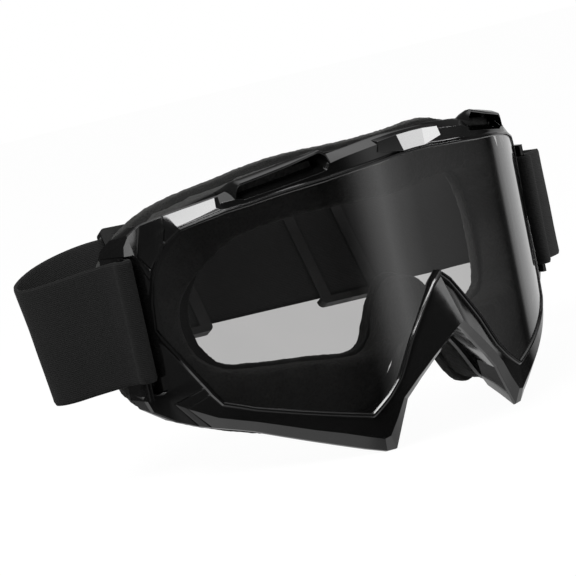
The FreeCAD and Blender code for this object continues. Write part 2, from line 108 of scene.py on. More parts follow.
def mirror_loop(points):
    """Closes a half outline, whose ends lie on x = 0, with its mirror image."""
    return [*points, *((-x, *rest) for x, *rest in reversed(points[1:-1]))]


def side_faces(count, size, closed=False):
    """Quads that join `count` rings of `size` points; closed also joins the last to the first."""
    faces = []
    for i in range(count if closed else count - 1):
        j = (i + 1) % count
        for c in range(size):
            e = (c + 1) % size
            faces.append((i * size + c, i * size + e, j * size + e, j * size + c))
    return faces


def loft(rings, closed=False):
    """Joins rings into a capped bar, or into an endless tube when closed."""
    count, size = len(rings), len(rings[0])
    faces = side_faces(count, size, closed)
    if not closed:
        faces.append(tuple(range(size - 1, -1, -1)))
        faces.append(tuple((count - 1) * size + c for c in range(size)))
    return [point for ring in rings for point in ring], faces


def join_lofts(ring_sets):
    """Lofts several bars into one list of vertices and faces."""
    verts, faces = [], []
    for rings in ring_sets:
        part_verts, part_faces = loft(rings)
        base = len(verts)
        verts.extend(part_verts)
        faces.extend(tuple(base + i for i in face) for face in part_faces)
    return verts, faces


# ---------------------------------------------------------------- object helpers
def shade_smooth(ob, smooth=True):
    for polygon in ob.data.polygons:
        polygon.use_smooth = smooth


def mesh_object(name, verts, faces, material, smooth=True):
    mesh = bpy.data.meshes.new(name)
    mesh.from_pydata([tuple(float(c) * MM for c in v) for v in verts], [], faces)
    mesh.validate()
    mesh.update()
    ob = bpy.data.objects.new(name, mesh)
    bpy.context.scene.collection.objects.link(ob)
    mesh.materials.append(material)
    shade_smooth(ob, smooth)
    return ob


def face_outward(ob, merge=False, sharp_angle=None):
    """Turns all faces outward, after an optional weld, and marks edges above the angle sharp."""
    bm = bmesh.new()
    bm.from_mesh(ob.data)
    if merge:
        bmesh.ops.remove_doubles(bm, verts=bm.verts, dist=0.02 * MM)
    bmesh.ops.recalc_face_normals(bm, faces=bm.faces)
    bm.to_mesh(ob.data)
    bm.free()
    if sharp_angle is not None:
        ob.data.set_sharp_from_angle(angle=math.radians(sharp_angle))


def apply_modifiers(ob):
    depsgraph = bpy.context.evaluated_depsgraph_get()
    mesh = bpy.data.meshes.new_from_object(ob.evaluated_get(depsgraph))
    ob.modifiers.clear()
    ob.data = mesh


def bevel(ob, width, segments, angle):
    rounding = ob.modifiers.new("edge_round", "BEVEL")
    rounding.width = width * MM
    rounding.segments = segments
    rounding.limit_method = "ANGLE"
    rounding.angle_limit = math.radians(angle)
    rounding.use_clamp_overlap = True


def bevel_and_apply(ob, width, angle):
    """Rounds the edges and weights the normals so that the facets stay flat."""
    bevel(ob, width, 2, angle)
    weighted = ob.modifiers.new("facets", "WEIGHTED_NORMAL")
    weighted.weight = 100
    weighted.keep_sharp = False
    apply_modifiers(ob)


def subdivide(ob, kind="CATMULL_CLARK"):
    subsurf = ob.modifiers.new("subdivide", "SUBSURF")
    subsurf.levels = subsurf.render_levels = 2
    subsurf.subdivision_type = kind
    apply_modifiers(ob)
    shade_smooth(ob)


def roughen(ob, terms, front=None):
    """Pushes points along their normals by summed noise: (height in mm, frequency per metre).

    With a front curve, no point ends up ahead of it.
    """
    count = len(ob.data.vertices)
    co, normals = np.empty(count * 3, np.float32), np.empty(count * 3, np.float32)
    ob.data.vertices.foreach_get("co", co)
    ob.data.vertices.foreach_get("normal", normals)
    co, normals = co.reshape(-1, 3), normals.reshape(-1, 3)
    push = np.array([sum(height * noise.noise(Vector((x * freq, y * freq, z * freq)))
                         for height, freq in terms) for x, y, z in co.tolist()], np.float32)
    co = co + normals * push[:, None] * MM
    if front is not None:
        co[:, 1] = np.maximum(co[:, 1], front(co[:, 0] / MM) * MM + 0.00005)
    ob.data.vertices.foreach_set("co", co.ravel())
    ob.data.update()


def register(ob, slot, *replaced):
    if replaced:
        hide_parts(*replaced)
    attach(ob, BODY)


# ---------------------------------------------------------------- shader helpers
def new_material(name):
    material = bpy.data.materials.new(name)
    material.use_nodes = True
    material.node_tree.nodes.clear()
    return material, material.node_tree


def node(tree, kind, inputs=None, **settings):
    """Adds a node; an input is a value, a socket, or a node whose first output is linked."""
    made = tree.nodes.new(kind)
    for key, value in settings.items():
        setattr(made, key, value)
    for key, value in (inputs or {}).items():
        if isinstance(value, bpy.types.Node):
            value = value.outputs[0]
        if isinstance(value, bpy.types.NodeSocket):
            tree.links.new(value, made.inputs[key])
        else:
            made.inputs[key].default_value = value
    return made


def maths(tree, operation, *values, clamp=False):
    return node(tree, "ShaderNodeMath", dict(enumerate(values)),
                operation=operation, use_clamp=clamp)


def coords(tree, output="Object"):
    return node(tree, "ShaderNodeTexCoord").outputs[output]


def noise_texture(tree, vector, **inputs):
    inputs["Vector"] = vector
    return node(tree, "ShaderNodeTexNoise", inputs).outputs["Fac"]


def map_range(tree, value, source, target=(0.0, 1.0)):
    return node(tree, "ShaderNodeMapRange", {
        "Value": value, "From Min": source[0], "From Max": source[1],
        "To Min": target[0], "To Max": target[1]}).outputs["Result"]


def ramp(tree, factor, stops):
    """Colour ramp; each stop is (position, grey level or colour triple)."""
    made = node(tree, "ShaderNodeValToRGB", {"Fac": factor})
    elements = made.color_ramp.elements
    while len(elements) < len(stops):
        elements.new(0.5)
    for element, (position, colour) in zip(elements, stops):
        element.position = position
        element.color = (*colour, 1) if isinstance(colour, tuple) else grey(colour)
    return made


def grey(level):
    return (level, level, level, 1)


def blend_colours(tree, factor, first, second, blend_type="MIX"):
    return node(tree, "ShaderNodeMixRGB", {"Fac": factor, "Color1": first, "Color2": second},
                blend_type=blend_type)


def mix_shaders(tree, factor, first, second):
    return node(tree, "ShaderNodeMixShader", {"Fac": factor, 1: first, 2: second})


def surface_output(tree, shader):
    node(tree, "ShaderNodeOutputMaterial", {"Surface": shader})


# ---------------------------------------------------------------- materials
def plastic(name, base, roughness, grain, specular=0.5):
    """Moulded plastic: faint mottling, smudged roughness and a very fine moulded grain."""
    material, tree = new_material(name)
    place = coords(tree)
    mottle = noise_texture(tree, place, Scale=38.0, Detail=4.0, Roughness=0.55)
    fine = noise_texture(tree, place, Scale=1600.0, Detail=2.0)
    smudge = noise_texture(tree, place, Scale=120.0, Detail=5.0, Roughness=0.7, Distortion=0.6)
    surface_output(tree, node(tree, "ShaderNodeBsdfPrincipled", {
        "Base Color": ramp(tree, mottle, [(0.3, base * 0.8), (0.7, base * 1.25)]),
        "Roughness": map_range(tree, smudge, (0.35, 0.75), (roughness * 0.8, roughness * 1.5)),
        "IOR": 1.5,
        "Specular IOR Level": specular,
        "Normal": node(tree, "ShaderNodeBump",
                       {"Strength": grain, "Distance": 0.0001, "Height": fine}),
    }))
    return material


def cloth_surface(tree, colour, height, bump, roughness, specular, sheen):
    """Matt shader with a sheen, shared by the soft materials.

    bump is (strength, distance in metres); sheen is (weight, roughness, tint).
    """
    normal = node(tree, "ShaderNodeBump",
                  {"Strength": bump[0], "Distance": bump[1], "Height": height})
    surface_output(tree, node(tree, "ShaderNodeBsdfPrincipled", {
        "Base Color": colour,
        "Roughness": roughness,
        "Specular IOR Level": specular,
        "Sheen Weight": sheen[0],
        "Sheen Roughness": sheen[1],
        "Sheen Tint": (*sheen[2], 1),
        "Normal": normal,
    }))


def thread_wave(tree, coordinate, pitch, phase=0.0):
    """Sine wave along a UV coordinate, with its pitch in mm."""
    angle = maths(tree, "MULTIPLY", coordinate, 2 * math.pi / (pitch * MM))
    return maths(tree, "SINE", maths(tree, "ADD", angle, phase))


def webbing(name, dark, light):
    """Woven elastic: lengthwise ribs, crossing picks and lighter fuzz; U runs along the strap."""
    material, tree = new_material(name)
    split = node(tree, "ShaderNodeSeparateXYZ", {"Vector": coords(tree, "UV")})
    ribs = thread_wave(tree, split.outputs["Y"], pitch=0.62)
    picks = thread_wave(tree, split.outputs["X"], pitch=0.5)
    weave = maths(tree, "MULTIPLY_ADD", maths(tree, "MULTIPLY", ribs, picks), 0.6, ribs)
    place = coords(tree)
    fuzz = noise_texture(tree, place, Scale=900.0, Detail=3.0, Roughness=0.6)
    patches = noise_texture(tree, place, Scale=45.0, Detail=3.0)
    height = maths(tree, "MULTIPLY_ADD", fuzz, 1.1, weave)
    colour = ramp(tree, map_range(tree, height, (-1.0, 2.4)), [
        (0.0, dark * 0.55),
        (0.55, (dark, dark * 1.02, dark)),
        (1.0, (light, light * 1.02, light * 0.99)),
    ])
    patchy = blend_colours(tree, 0.5, colour, ramp(tree, patches, [(0.3, 0.7), (0.7, 1.15)]),
                           "MULTIPLY")
    cloth_surface(tree, patchy, height, bump=(0.45, 0.00012), roughness=0.85, specular=0.25,
                  sheen=(0.06, 0.5, (0.5, 0.5, 0.5)))
    return material


def cells(name, dark, light, scale, strength, sheen, distance=0.0004):
    """Foam or brushed fleece: cell-like bump at one scale, fuzz at a finer one."""
    material, tree = new_material(name)
    place = coords(tree)
    pores = node(tree, "ShaderNodeTexVoronoi", {"Scale": scale, "Vector": place},
                 feature="F1").outputs["Distance"]
    fuzz = noise_texture(tree, place, Scale=scale * 2.3, Detail=5.0, Roughness=0.7)
    patches = noise_texture(tree, place, Scale=60.0, Detail=3.0)
    height = maths(tree, "MULTIPLY_ADD", pores, 0.8, fuzz)
    colour = ramp(tree, height, [(0.25, dark), (0.95, (light, light, light * 0.98))])
    patchy = blend_colours(tree, 0.6, colour, ramp(tree, patches, [(0.3, 0.65), (0.7, 1.2)]),
                           "MULTIPLY")
    cloth_surface(tree, patchy, height, bump=(strength, distance), roughness=0.95,
                  specular=0.15, sheen=(sheen, 0.45, (0.55, 0.55, 0.54)))
    return material


def tinted_lens(name, tint):
    """Smoke-tinted sheet: walls facing the viewer carry tint and polish, the others are clear."""
    material, tree = new_material(name)
    smudge = noise_texture(tree, coords(tree), Scale=55.0, Detail=4.0, Roughness=0.6,
                           Distortion=0.4)
    smoke = ramp(tree, smudge, [
        (0.3, (tint * 0.985, tint * 0.98, tint * 0.975)),
        (0.7, (tint * 1.01, tint, tint * 0.995)),
    ])
    through = node(tree, "ShaderNodeBsdfTransparent", {"Color": smoke})
    polish = node(tree, "ShaderNodeBsdfGlossy", {
        "Color": grey(1.0), "Roughness": map_range(tree, smudge, (0.3, 0.8), (0.02, 0.04))})
    fresnel = node(tree, "ShaderNodeFresnel", {"IOR": 1.58})
    reflection = maths(tree, "MULTIPLY", fresnel, 1.7, clamp=True)
    near_wall = mix_shaders(tree, reflection, through, polish)
    clear = node(tree, "ShaderNodeBsdfTransparent")
    away = node(tree, "ShaderNodeNewGeometry").outputs["Backfacing"]
    surface_output(tree, mix_shaders(tree, away, near_wall, clear))
    return material


def floor_material():
    """Near-white to the camera, mid grey to the light that bounces onto the goggles."""
    material, tree = new_material("pale_floor")
    glow = node(tree, "ShaderNodeEmission", {"Color": grey(1), "Strength": 0.965})
    shadow_catch = node(tree, "ShaderNodeBsdfDiffuse", {"Color": grey(0.06)})
    seen = node(tree, "ShaderNodeAddShader", {0: shadow_catch, 1: glow})
    bounce = node(tree, "ShaderNodeBsdfDiffuse", {"Color": grey(0.55)})
    to_camera = node(tree, "ShaderNodeLightPath").outputs["Is Camera Ray"]
    surface_output(tree, mix_shaders(tree, to_camera, bounce, seen))
    return material


M_FRAME = plastic("gloss_black_frame", base=0.004, roughness=0.10, grain=0.015)
M_HOOD = plastic("vent_hood_black", base=0.005, roughness=0.16, grain=0.03)
M_SATIN = plastic("satin_slider", base=0.004, roughness=0.42, grain=0.12, specular=0.3)
M_STRAP = webbing("woven_elastic", dark=0.0035, light=0.0115)
M_THREAD = webbing("sewing_thread", dark=0.01, light=0.03)
M_FOAM = cells("open_cell_foam", dark=0.006, light=0.04, scale=1100.0, strength=0.75, sheen=0.25)
M_FLEECE = cells("brushed_fleece", dark=0.007, light=0.042, scale=2300.0, strength=0.9,
                 sheen=0.35, distance=0.0003)
M_FILTER = cells("vent_filter_foam", dark=0.003, light=0.03, scale=650.0, strength=1.0,
                 sheen=0.0, distance=0.0006)
M_LENS = tinted_lens("smoke_lens", tint=0.49)

# ---------------------------------------------------------------- frame shell
GROOVE = 0.55  # depth of the narrow grooves across the frame
STATION_STEP = 2.6

# Stations round the +X half, from the top centre down to the nose. Kind: "c" curves on to the
# next row, "l" goes straight, "g" is a groove, straight as well. w is depth behind lens_y.
# kind, opening x z, ridge x z w, outer edge x z w, rear edge x z, depth added at the opening lip
FRAME_ROWS = [
    ("c", 0, 38.4, 0, 43.9, 0.9, 0, 45.9, 4.2, 0, 45.0, 0),
    ("c", 6.0, 38.3, 6.2, 43.9, 0.9, 7.0, 45.9, 4.2, 8, 45.0, 0),
    ("c", 12.0, 37.7, 12.6, 43.5, 0.9, 13.5, 45.4, 4.2, 14, 44.7, 0),
    ("c", 18.0, 37.2, 18.9, 42.8, 0.9, 20.0, 44.6, 4.3, 20.5, 44.2, 0),
    ("c", 23.8, 36.7, 24.7, 42.0, 1.0, 25.6, 43.9, 4.4, 26, 43.6, 0),
    ("c", 27.6, 36.3, 28.4, 41.2, 1.2, 29.0, 43.3, 4.5, 29.4, 43.2, 0),
    ("l", 28.6, 36.2, 29.2, 39.4, 1.3, 29.9, 41.1, 3.4, 30.3, 43.0, 0),
    ("c", 31.0, 35.9, 31.8, 38.9, 1.0, 32.3, 40.5, 3.2, 32.6, 42.5, 0),
    ("c", 36.0, 35.5, 36.9, 38.2, 1.0, 37.4, 39.7, 3.2, 37.6, 41.7, 0),
    ("c", 42.7, 34.9, 43.5, 37.2, 1.0, 44.0, 38.6, 3.2, 44.4, 40.7, 0),
    ("c", 48.5, 34.1, 49.5, 36.3, 1.0, 50.0, 37.6, 3.2, 50.4, 39.7, 0),
    ("l", 51.6, 33.6, 52.6, 35.8, 1.0, 53.2, 37.0, 3.4, 53.6, 39.2, 0),
    ("l", 53.2, 33.4, 54.4, 36.4, 1.0, 55.2, 38.9, 4.3, 55.6, 38.9, 0),
    ("c", 56.8, 32.9, 57.6, 36.3, 1.1, 56.8, 38.4, 4.4, 57.4, 38.5, 0),
    ("l", 57.6, 32.8, 58.6, 36.1, 1.2, 57.5, 38.2, 4.4, 58.1, 38.3, 0),
    ("l", 58.2, 32.7, 59.3, 35.0, 2.3, 58.2, 38.0, 4.9, 58.8, 38.2, 0),
    ("l", 64.5, 31.1, 65.4, 33.2, 2.2, 66.3, 36.3, 4.9, 67.0, 36.4, 0),
    ("l", 69.1, 29.7, 69.4, 32.2, 2.1, 69.9, 35.5, 4.7, 70.8, 35.4, 0),
    ("l", 72.9, 26.4, 71.5, 31.6, 1.9, 70.5, 35.4, 4.7, 71.6, 35.1, 0),
    ("g", 73.3, 26.1, 71.9, 31.4, 1.9, 70.9, 35.2, 4.7, 72.0, 35.0, 0),
    ("l", 73.7, 25.8, 72.3, 31.2, 1.7, 71.3, 35.1, 4.7, 72.4, 34.9, 0),
    ("l", 75.2, 22.2, 75.2, 28.2, 1.3, 74.6, 34.1, 4.6, 75.8, 34.0, 0),
    ("l", 76.2, 19.0, 78.7, 24.3, 1.0, 75.5, 33.8, 4.6, 76.8, 33.7, 0),
    ("g", 76.4, 18.3, 79.1, 24.0, 1.0, 76.0, 33.6, 4.6, 77.3, 33.5, 0),
    ("l", 76.6, 17.6, 79.5, 23.7, 0.4, 77.9, 32.5, 4.2, 79.0, 32.3, 0),
    ("l", 76.8, 16.9, 79.9, 24.8, 0.4, 79.7, 31.0, 2.9, 82.0, 30.4, 0),
    ("l", 77.0, 16.1, 80.3, 25.1, 0.4, 81.5, 28.0, 1.2, 84.6, 27.6, 0),
    ("l", 77.2, 15.2, 80.5, 24.9, 0.5, 82.4, 25.0, -0.6, 85.5, 25.0, 0),
    ("l", 77.4, 14.2, 79.6, 22.4, 0.9, 80.75, 24.8, 1.6, 80.8, 24.8, 0),
    ("l", 78.2, 8.0, 79.9, 9.0, 0.9, 80.75, 10.0, 1.8, 80.8, 10.0, 0),
    ("l", 78.8, 0.0, 80.0, 0.0, 0.9, 80.75, 0.0, 1.8, 80.8, 0.0, 0),
    ("l", 75.5, -7.9, 79.4, -12.0, 0.9, 80.75, -12.0, 1.8, 80.8, -12.0, 0),
    ("l", 72.4, -15.3, 78.9, -19.6, 0.9, 80.75, -20.4, 1.6, 80.8, -20.4, 0),
    ("l", 71.9, -16.5, 80.2, -21.2, 0.4, 85.3, -20.55, -3.2, 85.4, -20.55, 0),
    ("l", 71.4, -17.7, 79.8, -22.4, 0.4, 83.4, -26.3, -0.6, 83.8, -25.6, 0),
    ("l", 70.9, -18.9, 79.2, -23.6, 0.6, 77.4, -31.2, 3.4, 78.4, -30.6, 0),
    ("l", 70.4, -20.0, 78.7, -24.4, 0.9, 73.5, -33.4, 4.2, 74.5, -32.8, 0),
    ("g", 70.2, -20.5, 78.3, -24.8, 0.9, 73.0, -33.6, 4.2, 74.0, -33.0, 0),
    ("l", 70.0, -21.0, 77.9, -25.2, 0.9, 72.5, -33.8, 4.2, 73.5, -33.2, 0),
    ("l", 69.5, -22.3, 76.2, -26.4, 1.0, 70.8, -34.4, 4.3, 71.8, -33.9, 0),
    ("g", 69.3, -22.8, 75.8, -26.8, 1.0, 70.3, -34.6, 4.3, 71.3, -34.1, 0),
    ("l", 69.1, -23.3, 75.4, -27.2, 1.0, 69.8, -34.8, 4.3, 70.8, -34.3, 0),
    ("l", 67.8, -26.3, 69.6, -31.2, 1.2, 67.4, -35.6, 4.3, 68.4, -35.1, 0),
    ("l", 64.2, -28.0, 64.6, -33.2, 1.2, 64.4, -36.6, 4.4, 65.2, -36.0, 0),
    ("l", 61.0, -29.6, 60.9, -34.6, 1.2, 61.0, -37.9, 4.4, 61.6, -37.2, 0),
    ("l", 52.6, -32.5, 53.9, -37.7, 1.2, 54.2, -41.2, 4.4, 54.6, -40.4, 0),
    ("l", 44.1, -35.3, 46.8, -40.9, 1.2, 47.4, -44.4, 4.3, 47.6, -43.2, 0),
    ("l", 37.6, -37.3, 40.0, -43.6, 1.1, 40.8, -47.4, 4.1, 41.0, -45.6, 0),
    ("l", 31.5, -39.1, 33.3, -46.6, 0.9, 33.6, -50.6, 3.6, 34.4, -47.6, 0),
    ("l", 31.1, -39.2, 29.2, -48.3, 0.3, 28.3, -52.7, 2.2, 30.0, -48.6, 0),
    ("l", 30.7, -38.9, 27.2, -47.8, 0.4, 25.2, -52.7, 2.2, 24.4, -46.6, 0),
    ("l", 28.3, -37.0, 23.9, -42.6, 0.4, 21.9, -45.2, 2.2, 20.6, -41.0, 0),
    ("l", 25.4, -34.6, 20.9, -36.9, 0.1, 18.7, -37.9, 2.0, 17.4, -34.4, 0),
    ("l", 21.4, -30.3, 15.8, -31.4, -1.5, 13.6, -32.2, 0.5, 12.6, -28.4, 0),
    ("l", 15.0, -19.1, 10.3, -26.0, -3.3, 8.7, -27.3, -1.0, 8.4, -23.2, -0.1),
    ("l", 8.5, -9.9, 5.3, -21.4, -5.3, 4.5, -23.0, -2.8, 4.6, -19.6, -0.5),
    ("l", 3.6, -3.4, 2.0, -18.4, -6.9, 1.8, -20.4, -4.1, 2.0, -17.6, -1.1),
    ("l", 0.0, -0.2, 0.0, -16.7, -7.9, 0.0, -18.9, -4.7, 0.0, -16.4, -1.5),
]


def frame_stations():
    """Divides the rows evenly; returns (groove depth, row values) for each station."""
    kinds = [row[0] for row in FRAME_ROWS]
    rows = [np.array(row[1:], float) for row in FRAME_ROWS]
    for i, kind in enumerate(kinds):
        if kind == "g":
            for beside in (i - 1, i + 1):  # pulled in, so that the groove stays narrow
                rows[beside] = rows[i] + (rows[beside] - rows[i]) * 0.55
    stations = []
    last = len(rows) - 1
    for i in range(last):
        here, ahead = rows[i], rows[i + 1]
        length = max(math.hypot(ahead[0] - here[0], ahead[1] - here[1]),
                     math.hypot(ahead[5] - here[5], ahead[6] - here[6]))
        steps = max(1, int(round(length / STATION_STEP)))
        curved = i > 0 and kinds[i] == "c" and kinds[i + 1] == "c"
        for step in range(steps):
            t = step / float(steps)
            if curved:
                before = rows[i - 1] if kinds[i - 1] == "c" else here
                values = spline(before, here, ahead, rows[min(i + 2, last)], t)
            else:
                values = here + (ahead - here) * t
            groove = GROOVE if kinds[i] == "g" and step == 0 else 0.0
            stations.append((groove, values))
    stations.append((0.0, rows[-1]))
    return stations


def frame_section(groove, values):
    """Closed cross-section: lip, front face, outer wall, rear edge and back inside."""
    ox, oz, rx, rz, ridge_w, ex, ez, edge_w, rear_x, rear_z, lip = values
    # the rear edge drops where the outer edge is both deep and high
    rear_z -= 2.4 * clamp01((edge_w - 3.4) / 0.8) * clamp01((ez - 33.5) / 2.5)
    opening, ridge, edge = np.array([ox, oz]), np.array([rx, rz]), np.array([ex, ez])
    rear = np.array([rear_x, rear_z])
    outward = unit(ridge - opening)
    wall = unit(edge - ridge)
    inward = unit(opening - edge)
    squeeze = min(1.0, np.linalg.norm(ridge - opening) / 2.6)

    def at(point, w):
        return (point[0], lens_y(point[0]) + w, point[1])

    def front(reach):
        return opening + outward * reach * squeeze

    halfway = (edge + rear) / 2
    y_rear = rear_y(rear_x)
    inside = rear + inward * 1.8
    return [
        at(opening, 2.9),
        at(opening, 0.7 + lip),
        at(front(0.35), 0.05 + lip),
        at(front(0.95), 0.0 + lip),
        at(front(1.25), 0.75 + lip * 0.8),
        at(front(1.7), 0.95 + groove + lip * 0.8),
        at(ridge, ridge_w + groove),
        at(edge - wall * 0.02, edge_w + groove * 0.8),
        at(edge + wall * 0.35, edge_w + 1.1 + groove * 0.5),
        (halfway[0], (lens_y(ex) + edge_w + 1.1 + y_rear) / 2, halfway[1]),
        (rear_x, y_rear - 0.25, rear_z),
        (inside[0], y_rear - 0.1, inside[1]),
        at(edge + inward * 2.0, max(edge_w, -1) + 3.4),
        at(front(1.0), 5.0 + min(lip, 0)),
    ]


def build_shell():
    right = [frame_section(*station) for station in frame_stations()]
    left = [[(-x, y, z) for x, y, z in section] for section in reversed(right[1:-1])]
    shell = mesh_object("frame_shell", *loft(right + left, closed=True), M_FRAME)
    face_outward(shell, merge=True)
    bevel_and_apply(shell, width=0.3, angle=15)
    register(shell, "frame", "frame")


# ---------------------------------------------------------------- side bars and brow boss
BAR_FRONT, BAR_REAR = 50.0, 63.3


def build_side_bars():
    """Upright bars at both sides that the strap wraps round."""
    section = [  # x, y
        (83.3, BAR_FRONT + 0.9), (83.6, BAR_FRONT + 0.2), (84.3, BAR_FRONT),
        (84.95, BAR_FRONT + 0.3), (85.25, BAR_FRONT + 1.1), (85.3, BAR_FRONT + 6),
        (85.35, BAR_REAR), (83.4, BAR_REAR), (83.3, BAR_FRONT + 6),
    ]
    heights = np.linspace(24.95, -22.2, 13)
    both = [[[(side * x, y, z) for x, y in section] for z in heights] for _, side in SIDES]
    bars = mesh_object("side_bars", *join_lofts(both), M_FRAME)
    face_outward(bars, merge=True, sharp_angle=35)
    register(bars, "frame")


# x, z, depth behind lens_y of the +X half: the ring sunk in the brow, then the raised face
BOSS_SUNK = [(0, 45.9, 3.4), (5.4, 45.8, 3.2), (12.4, 45.2, 3.4), (13.6, 41.2, 2.6),
             (4.6, 39.0, 1.6), (0, 39.0, 1.6)]
BOSS_FACE = [(0, 45.2, 0.75), (5.2, 45.1, 0.6), (12.0, 44.4, 0.75), (12.8, 41.2, 0.5),
             (4.3, 39.7, -0.55), (0, 39.8, -0.4)]


def build_boss():
    """Raised block at the middle of the brow, with three facets in front."""
    sunk, face = mirror_loop(BOSS_SUNK), mirror_loop(BOSS_FACE)
    verts = [(x, lens_y(x) + w, z) for x, z, w in sunk + face]
    size = len(sunk)
    faces = [(c, (c + 1) % size, size + (c + 1) % size, size + c) for c in range(size)]
    faces.append(tuple(reversed(range(size))))
    for facet in ((1, 2, 3, 4), (6, 7, 8, 9), (0, 1, 4, 5, 6, 9)):
        faces.append(tuple(size + c for c in facet))
    boss = mesh_object("brow_boss", verts, faces, M_FRAME)
    face_outward(boss, merge=True)
    bevel_and_apply(boss, width=0.12, angle=8)
    register(boss, "frame")


# ---------------------------------------------------------------- lens
# upper and lower edge of the frame opening: x, z
OPENING_TOP = [
    (0, 38.4), (6, 38.3), (12, 37.7), (18, 37.2), (23.8, 36.7), (27.6, 36.3), (36, 35.5),
    (42.7, 34.9), (48.5, 34.1), (53.2, 33.4), (58.2, 32.7), (64.5, 31.1), (69.1, 29.7),
    (73.7, 25.8), (76.4, 18.3), (78.2, 8.0), (78.8, 0.0)]
OPENING_LOW = [
    (0, -0.2), (3.6, -3.4), (8.5, -9.9), (15, -19.1), (21.4, -30.3), (25.4, -34.6),
    (31.1, -39.2), (44.1, -35.3), (61, -29.6), (67.8, -26.3), (78.8, 0.0)]
OPENING_END = OPENING_TOP[-1][0]
LENS_END = 79.4
LENS_OVERLAP = 0.8  # how far the sheet reaches under the frame, square to the opening's edge
LENS_DEPTHS = (1.0, 2.1)  # front and rear wall, behind lens_y
LENS_ROWS = 5  # points up each wall


def opening_edge(points, x):
    """Height of the opening's edge at x, and how much its slope lengthens the overlap."""
    xs, zs = zip(*points)
    z = float(np.interp(x, xs, zs))
    slope = abs(float(np.interp(x + 0.05, xs, zs)) - z) / 0.05
    return z, min(math.hypot(1, slope), 2.5)


def build_lens():
    """One bent sheet, finely divided along its length."""
    verts, faces = [], []
    columns = np.linspace(-LENS_END, LENS_END, 319)
    for x in columns:
        inside_x = min(abs(x), OPENING_END)
        top, top_stretch = opening_edge(OPENING_TOP, inside_x)
        low, low_stretch = opening_edge(OPENING_LOW, inside_x)
        top += LENS_OVERLAP * top_stretch
        low -= LENS_OVERLAP * low_stretch
        if abs(x) > OPENING_END:  # the tips taper to almost nothing
            taper = (79.5 - abs(x)) / 0.7
            top, low = 2.0 * taper, -2.0 * taper
        for w in LENS_DEPTHS:
            for z in (top, top * 0.75 + low * 0.25, top * 0.5 + low * 0.5,
                      top * 0.25 + low * 0.75, low):
                verts.append((x, lens_y(x) + w, z))
    rows = LENS_ROWS
    size = 2 * rows
    for i in range(len(columns) - 1):
        a, b = i * size, (i + 1) * size
        for r in range(rows - 1):
            faces.append((a + r, a + r + 1, b + r + 1, b + r))
            faces.append((a + rows + r + 1, a + rows + r, b + rows + r, b + rows + r + 1))
        faces.append((a + rows, a, b, b + rows))
        faces.append((a + rows - 1, a + size - 1, b + size - 1, b + rows - 1))
    for end in (0, (len(columns) - 1) * size):
        for r in range(rows - 1):
            faces.append((end + r, end + r + 1, end + rows + r + 1, end + rows + r))
    lens = mesh_object("lens_sheet", verts, faces, M_LENS)
    face_outward(lens, sharp_angle=35)
    register(lens, "lens", "lens")


# ---------------------------------------------------------------- vent scoops
SCOOP_START, SCOOP_END = 28.4, 54.9  # x
SCOOP_SHARES = [0, 0.03, 0.09, 0.45, 0.94, 0.975, 1.0]  # share of the length for rim and top
SCOOP_RIM = [41.4, 44.0, 45.7, 43.4, 40.75, 39.6, 36.6]  # z of the front rim
SCOOP_TOP = [42.6, 44.4, 45.6, 43.8, 41.3, 40.3, 38.6]  # z of the roof behind it
SCOOP_BACK_X = [28, 30.3, 37.6, 44.4, 50.4, 55.6]
SCOOP_BACK_Z = [43.3, 42.9, 41.6, 40.6, 39.6, 38.8]


def build_scoop(side_name, side):
    """Thin roof over the top vent, open towards the front."""
    shares = np.concatenate([[0, 0.012, 0.03, 0.06, 0.1], np.linspace(0.16, 0.84, 14),
                             [0.9, 0.94, 0.97, 0.988, 1.0]])
    rings = []
    for share in shares:
        x = SCOOP_START + (SCOOP_END - SCOOP_START) * share
        rim = np.interp(share, SCOOP_SHARES, SCOOP_RIM)
        top = np.interp(share, SCOOP_SHARES, SCOOP_TOP)
        back = np.interp(x, SCOOP_BACK_X, SCOOP_BACK_Z)
        dip = 1.9 * (1 - min(share / 0.42, 1)) ** 1.3  # the roof sinks near the middle end
        middle = top * 0.9 + back * 0.1 - dip * 0.8
        behind = top * 0.5 + back * 0.5 - dip
        back -= dip * 0.6
        outside = [(0.3, rim), (0.2, rim + 0.35), (0.9, rim + 0.62),
                   (3.5, top + 0.85 - dip * 0.3), (7.0, middle + 0.65), (10.5, behind + 0.4),
                   (13.4, back + 0.15)]
        inside = [(0.5, rim - 0.28), (1.0, rim - 0.3), (3.6, top - 0.2 - dip * 0.3),
                  (7.0, middle - 0.4), (10.2, behind - 0.7), (13.0, back - 0.6)]
        rings.append([(side * x, lens_y(x) + w, z) for w, z in outside + inside[::-1]])
    scoop = mesh_object("vent_scoop_" + side_name, *loft(rings), M_HOOD)
    face_outward(scoop, sharp_angle=40)
    register(scoop, "frame", "top_vent_hood_" + side_name)


# ---------------------------------------------------------------- vent filters
def pitted_block(name, rings, replaced, seed):
    """Coarse foam strip: a divided block whose surface is pitted by noise."""
    block = mesh_object(name, *loft(rings), M_FILTER)
    subdivide(block, "SIMPLE")
    for vert in block.data.vertices:
        x, y, z = vert.co
        pit = noise.noise(Vector((x * 900 + seed, y * 900, z * 900))) * 0.22 * MM
        vert.co += Vector((pit * 0.4, pit, pit))
    register(block, "filter", replaced)


